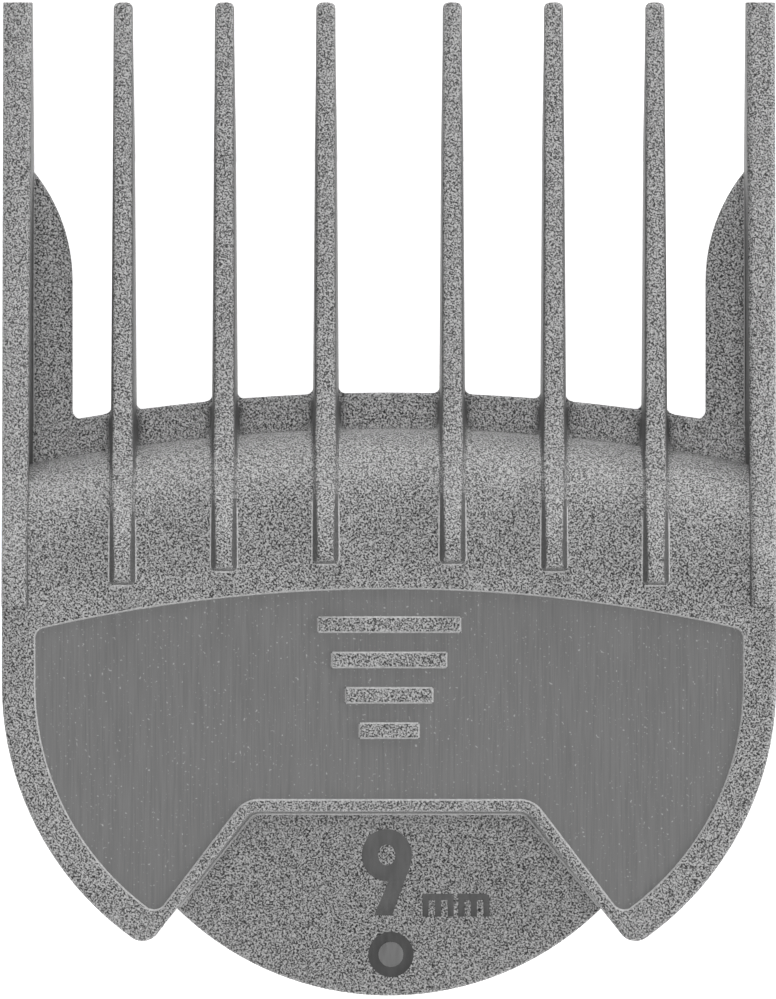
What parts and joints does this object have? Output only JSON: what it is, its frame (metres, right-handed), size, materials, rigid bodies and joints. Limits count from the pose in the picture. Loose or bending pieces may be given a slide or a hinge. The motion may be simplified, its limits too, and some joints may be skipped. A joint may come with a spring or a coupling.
{
  "type": "clipper guard comb",
  "caption": "Slip-on guard comb for a hair-clipper blade: long tapered teeth, a recessed cover and a finger tab, held by magnets.",
  "frame": {"origin": "middle of the footprint, level with the bottom of the side skirts", "axes": "+Z towards the skin side, +Y towards the tooth tips, +X to the right seen from the skin side"},
  "size_m": [0.0504, 0.0649, 0.0205],
  "materials": {
    "nylon": "spark-eroded grain, mid grey",
    "magnet_nickel": "satin nickel plating"
  },
  "bodies": {
    "root": {"cover_plate": "nylon", "front_wall": "nylon", "front_band": "nylon", "left_side_wall": "nylon", "right_side_wall": "nylon", "rear_step_wall": "nylon", "left_diagonal_wall": "nylon", "right_diagonal_wall": "nylon", "left_corner_wall": "nylon", "right_corner_wall": "nylon", "number_tab": "nylon", "tooth_1": "nylon", "tooth_2": "nylon", "tooth_3": "nylon", "tooth_4": "nylon", "tooth_5": "nylon", "tooth_6": "nylon", "tooth_7": "nylon", "tooth_8": "nylon", "left_wing": "nylon", "right_wing": "nylon", "left_magnet_boss": "nylon", "right_magnet_boss": "nylon", "left_magnet": "magnet_nickel", "right_magnet": "magnet_nickel"}
  },
  "joints": []
}
